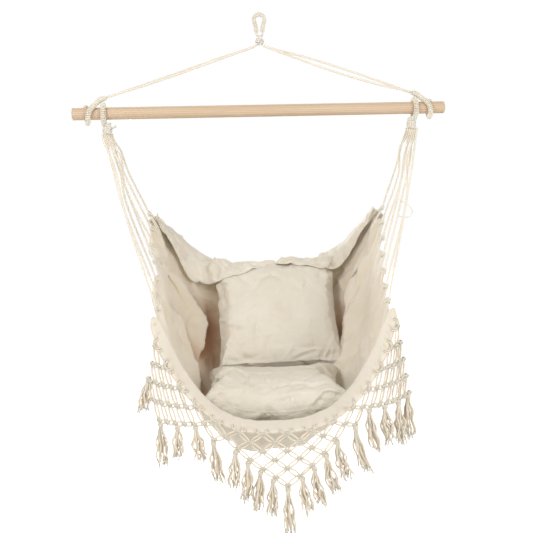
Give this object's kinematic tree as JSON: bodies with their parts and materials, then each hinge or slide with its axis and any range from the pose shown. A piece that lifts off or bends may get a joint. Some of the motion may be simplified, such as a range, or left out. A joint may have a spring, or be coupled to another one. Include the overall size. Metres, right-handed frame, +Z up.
{
  "type": "hammock chair",
  "caption": "Hanging hammock chair: a cotton sling with knotted net fringe and loose cushions, hung by cords from a wooden spreader bar with a rope eye.",
  "frame": {"origin": "inside top of the hanging eye, the point where a ceiling hook bears", "axes": "+Z up, +X along the spreader bar towards the sitter's left (the picture's right), +Y towards the chair's back, so the front faces -Y"},
  "size_m": [1, 0.6793, 1.2727],
  "materials": {
    "wood": "smooth sanded pale wood, satin",
    "cotton_cord": "twisted natural cotton cord, matt",
    "canvas": "unbleached cotton canvas, plain weave, matt",
    "cushion_cover": "unbleached cotton cover, creased, matt"
  },
  "bodies": {
    "eye": {"hanging_eye": "cotton_cord", "eye_whipping": "cotton_cord"},
    "knot": {"eye_knot": "cotton_cord"},
    "suspension": {"suspension_cord_left_front": "cotton_cord", "suspension_cord_left_rear": "cotton_cord", "suspension_cord_right_front": "cotton_cord", "suspension_cord_right_rear": "cotton_cord", "bar_hitch_left": "cotton_cord", "bar_hitch_right": "cotton_cord", "hitch_whipping_left": "cotton_cord", "hitch_whipping_right": "cotton_cord"},
    "bar": {"spreader_bar": "wood"},
    "seat": {"seat_loop_left": "cotton_cord", "seat_loop_right": "cotton_cord", "seat_loop_whipping_left": "cotton_cord", "seat_loop_whipping_right": "cotton_cord", "seat_cord_left_1": "cotton_cord", "seat_cord_left_2": "cotton_cord", "seat_cord_left_3": "cotton_cord", "seat_cord_left_4": "cotton_cord", "seat_cord_left_5": "cotton_cord", "seat_cord_left_6": "cotton_cord", "seat_cord_left_7": "cotton_cord", "seat_cord_right_1": "cotton_cord", "seat_cord_right_2": "cotton_cord", "seat_cord_right_3": "cotton_cord", "seat_cord_right_4": "cotton_cord", "seat_cord_right_5": "cotton_cord", "seat_cord_right_6": "cotton_cord", "seat_cord_right_7": "cotton_cord", "seat_sling": "canvas", "front_hem": "canvas", "back_collar": "canvas", "net_left_side": "cotton_cord", "net_left": "cotton_cord", "net_centre": "cotton_cord", "net_right": "cotton_cord", "net_right_side": "cotton_cord", "tassel_1": "cotton_cord", "tassel_2": "cotton_cord", "tassel_3": "cotton_cord", "tassel_4": "cotton_cord", "tassel_5": "cotton_cord", "tassel_6": "cotton_cord", "tassel_7": "cotton_cord", "tassel_8": "cotton_cord", "tassel_9": "cotton_cord", "tassel_10": "cotton_cord", "tassel_11": "cotton_cord", "tassel_12": "cotton_cord", "tassel_13": "cotton_cord", "tassel_14": "cotton_cord", "tassel_15": "cotton_cord", "tassel_16": "cotton_cord", "tassel_17": "cotton_cord", "tassel_18": "cotton_cord", "tassel_19": "cotton_cord"},
    "seat_cushion_body": {"seat_cushion": "cushion_cover"},
    "back_cushion_body": {"back_cushion": "cushion_cover"}
  },
  "joints": [
    {"name": "chair_swing", "type": "hinge", "parent": "eye", "child": "knot", "pos_m": [0, 0, -0.06385], "axis": [1, 0, 0], "range_deg": [-18, 18]},
    {"name": "chair_twist", "type": "hinge", "parent": "knot", "child": "suspension", "pos_m": [0, 0, -0.06385], "axis": [0, 0, 1], "range_deg": [-120, 120]},
    {"name": "bar_roll", "type": "hinge", "parent": "suspension", "child": "bar", "pos_m": [0, 0, -0.246], "axis": [1, 0, 0], "continuous": true},
    {"name": "seat_swing", "type": "hinge", "parent": "suspension", "child": "seat", "pos_m": [0, 0, -0.246], "axis": [1, 0, 0], "range_deg": [-25, 25]},
    {"name": "seat_cushion_lift", "type": "slide", "parent": "seat", "child": "seat_cushion_body", "axis": [0, -0.5, 0.866], "range_m": [0, 0.5]},
    {"name": "back_cushion_lift", "type": "slide", "parent": "seat", "child": "back_cushion_body", "axis": [0, 0, 1], "range_m": [0, 0.3]}
  ]
}
